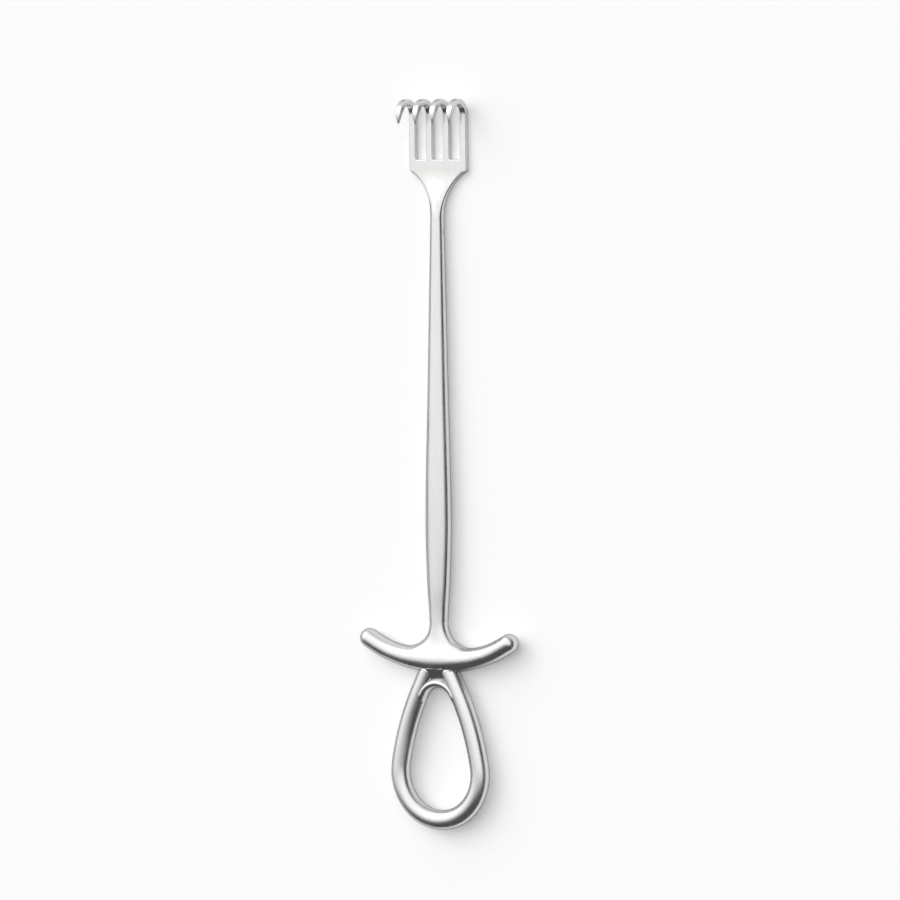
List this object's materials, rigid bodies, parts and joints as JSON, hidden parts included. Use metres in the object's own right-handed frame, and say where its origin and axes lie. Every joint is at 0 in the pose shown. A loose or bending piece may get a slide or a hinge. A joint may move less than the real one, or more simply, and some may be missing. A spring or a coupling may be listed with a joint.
{
  "type": "rake retractor",
  "caption": "Hand-held rake retractor: a row of sharp hooked prongs on a tapered oval shaft, with a curved finger crossbar and a closed finger loop.",
  "frame": {"origin": "under the middle of the instrument's length and width, on the plane that its back rests on", "axes": "+X from the finger loop to the prongs, +Y across the instrument, +Z from its back up to the hooks"},
  "size_m": [0.22, 0.056, 0.0094],
  "materials": {
    "satin_steel": "satin to bright polished stainless steel",
    "pin_steel": "ground stainless steel, dressed flush"
  },
  "bodies": {
    "root": {"rake_head": "satin_steel", "head_pin": "pin_steel", "shaft": "satin_steel", "finger_crossbar": "satin_steel", "finger_loop": "satin_steel", "loop_saddle": "satin_steel", "loop_dowels": "pin_steel", "saddle_pin": "pin_steel"}
  },
  "joints": []
}
